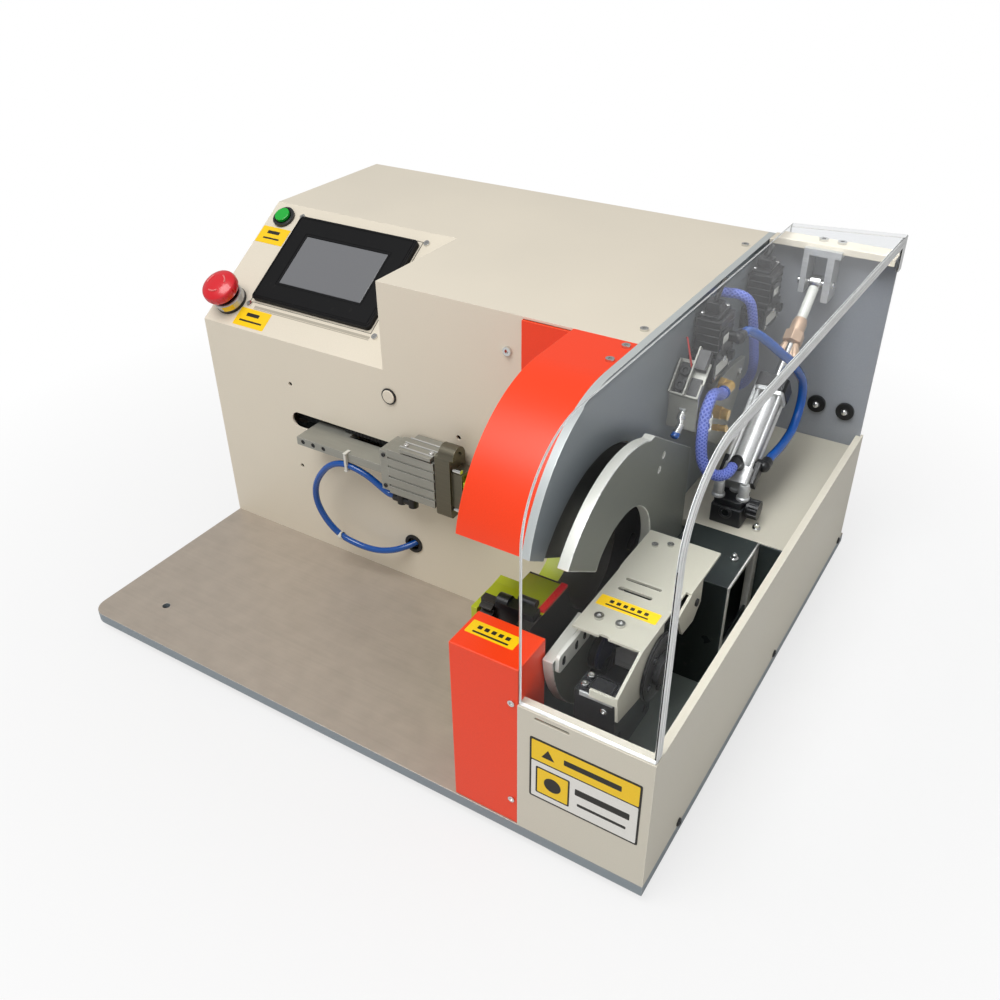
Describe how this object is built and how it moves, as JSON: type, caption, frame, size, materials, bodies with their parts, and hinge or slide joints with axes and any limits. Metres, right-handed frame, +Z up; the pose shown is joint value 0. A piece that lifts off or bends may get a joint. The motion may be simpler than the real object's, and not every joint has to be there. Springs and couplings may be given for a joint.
{
  "type": "tape wrapping machine",
  "caption": "Bench-top tape wrapping machine with a geared C-shaped rotor, a clamp carriage, a guarded tape feeding bay and a sloped control panel.",
  "frame": {"origin": "centre of the outline at the level of the feet's undersides", "axes": "+X to the machine's right along its long side, +Y to the back, +Z up"},
  "size_m": [0.56, 0.48, 0.3461],
  "materials": {
    "cream_paint": "fine satin powder coat",
    "orange_paint": "satin powder coat",
    "lime_paint": "gloss paint over machined plate",
    "plate_grey": "fine grey powder coat",
    "dark_steel": "dark grey powder coat",
    "ring_grey": "hard anodised, dull grey",
    "plate_steel": "bead blasted, plated steel",
    "machined_aluminium": "machined and clear anodised",
    "olive_plate": "dark anodised",
    "bright_steel": "polished zinc plate",
    "black_plastic": "fine moulded grain",
    "black_metal": "satin black",
    "screen": "matt film over a display",
    "red_plastic": "moulded, slightly glossy",
    "green_plastic": "moulded, slightly glossy",
    "rubber": "moulded rubber",
    "brass": "turned brass",
    "blue_tube": "polyurethane tube",
    "clear_guard": "clear acrylic, polished"
  },
  "bodies": {
    "root": {"base_plate": "plate_steel", "rubber_feet": "rubber", "cabinet_shell": "cream_paint", "rear_cover": "cream_paint", "power_inlet": "black_plastic", "air_inlet": "brass", "display_bezel": "black_plastic", "display_screen": "screen", "estop_base": "black_plastic", "reset_bezel": "black_plastic", "front_grommets": "rubber", "cover_screws": "bright_steel", "side_plate": "plate_grey", "head_plate": "lime_paint", "hood": "orange_paint", "lower_cover": "orange_paint", "drive_motor": "black_metal", "ring_plate": "ring_grey", "ring_spacers": "machined_aluminium", "tray_walls": "cream_paint", "tray_floor": "dark_steel", "rear_deck": "cream_paint", "feed_box": "dark_steel", "back_panel": "plate_grey", "bulkhead_fittings": "black_plastic", "guard": "clear_guard", "feed_bracket": "cream_paint", "slotted_strip": "machined_aluminium", "tape_motor": "black_metal", "solenoid_valves": "black_plastic", "valve_plate": "machined_aluminium", "brass_fittings": "brass", "sensor_bracket": "machined_aluminium", "valve_hose": "blue_tube", "feed_anchor": "machined_aluminium", "feed_rod": "machined_aluminium", "feed_hoses": "blue_tube", "carriage_rail": "plate_steel", "front_hose": "blue_tube"},
    "estop_stem": {"estop_stem": "red_plastic"},
    "estop_head": {"estop_head": "red_plastic"},
    "reset_button": {"reset_cap": "green_plastic"},
    "rocker": {"rocker_switch": "red_plastic"},
    "carriage": {"carriage_plate": "machined_aluminium", "gripper_body": "machined_aluminium", "gripper_fittings": "black_plastic"},
    "gripper": {"gripper_head": "olive_plate"},
    "upper_jaw": {"jaw_upper": "lime_paint"},
    "lower_jaw": {"jaw_lower": "lime_paint"},
    "rotor": {"rotor": "lime_paint", "tape_presser": "black_plastic", "mouth_strip": "red_plastic"},
    "upper_pinion": {"pinion_upper": "machined_aluminium"},
    "lower_pinion": {"pinion_lower": "machined_aluminium"},
    "drive_gear": {"motor_gear": "brass"},
    "tape_roller": {"feed_roller": "rubber"},
    "reel": {"tape_reel": "rubber"},
    "cutter": {"cutter_blade": "machined_aluminium"},
    "feeder": {"feed_cylinder": "black_metal"},
    "knob": {"adjust_knob": "black_plastic"}
  },
  "joints": [
    {"name": "estop_press", "type": "slide", "parent": "root", "child": "estop_stem", "axis": [0, 0.5563, -0.831], "range_m": [0, 0.004]},
    {"name": "estop_twist", "type": "hinge", "parent": "estop_stem", "child": "estop_head", "pos_m": [-0.261, -0.03413, 0.2622], "axis": [0, -0.5563, 0.831], "range_deg": [0, 45]},
    {"name": "reset_press", "type": "slide", "parent": "root", "child": "reset_button", "axis": [0, 0.5563, -0.831], "range_m": [0, 0.0025], "stiffness_N_per_m": 200, "springref_m": -0.001},
    {"name": "rocker_tilt", "type": "hinge", "parent": "root", "child": "rocker", "pos_m": [-0.176, 0.221, 0.063], "axis": [1, 0, 0], "range_deg": [0, 14]},
    {"name": "carriage_slide", "type": "slide", "parent": "root", "child": "carriage", "axis": [1, 0, 0], "range_m": [-0.025, 0.04], "deforming": ["front_hose"]},
    {"name": "gripper_slide", "type": "slide", "parent": "carriage", "child": "gripper", "axis": [1, 0, 0], "range_m": [0, 0.02]},
    {"name": "jaw_open", "type": "slide", "parent": "gripper", "child": "upper_jaw", "axis": [0, 0, 1], "range_m": [0, 0.003]},
    {"name": "jaw_open_lower", "type": "slide", "parent": "gripper", "child": "lower_jaw", "axis": [0, 0, -1], "range_m": [0, 0.003]},
    {"name": "rotor_turn", "type": "hinge", "parent": "root", "child": "rotor", "pos_m": [0.14, -0.108, 0.164], "axis": [1, 0, 0], "continuous": true},
    {"name": "upper_pinion_turn", "type": "hinge", "parent": "root", "child": "upper_pinion", "pos_m": [0.14, -0.01213, 0.20922], "axis": [1, 0, 0], "continuous": true},
    {"name": "lower_pinion_turn", "type": "hinge", "parent": "root", "child": "lower_pinion", "pos_m": [0.14, -0.01213, 0.11878], "axis": [1, 0, 0], "continuous": true},
    {"name": "drive_gear_turn", "type": "hinge", "parent": "root", "child": "drive_gear", "pos_m": [0.125, 0.03029, 0.164], "axis": [1, 0, 0], "continuous": true},
    {"name": "tape_roller_turn", "type": "hinge", "parent": "root", "child": "tape_roller", "pos_m": [0.21, -0.1, 0.154], "axis": [1, 0, 0], "continuous": true},
    {"name": "reel_turn", "type": "hinge", "parent": "root", "child": "reel", "pos_m": [0.245, -0.158, 0.138], "axis": [1, 0, 0], "continuous": true},
    {"name": "cutter_lift", "type": "slide", "parent": "root", "child": "cutter", "axis": [0, 0, 1], "range_m": [0, 0.014]},
    {"name": "feeder_slide", "type": "slide", "parent": "root", "child": "feeder", "axis": [0, 0.7881, 0.6155], "range_m": [0, 0.02], "deforming": ["feed_hoses"]},
    {"name": "knob_turn", "type": "hinge", "parent": "feeder", "child": "knob", "pos_m": [0.235, 0.053, 0.141], "axis": [1, 0, 0], "continuous": true}
  ],
  "couplings": [
    {"joint": "jaw_open_lower", "follows": "jaw_open", "ratio": 1},
    {"joint": "upper_pinion_turn", "follows": "rotor_turn", "ratio": -3.8182},
    {"joint": "lower_pinion_turn", "follows": "rotor_turn", "ratio": -3.8182},
    {"joint": "drive_gear_turn", "follows": "rotor_turn", "ratio": 2.1}
  ]
}
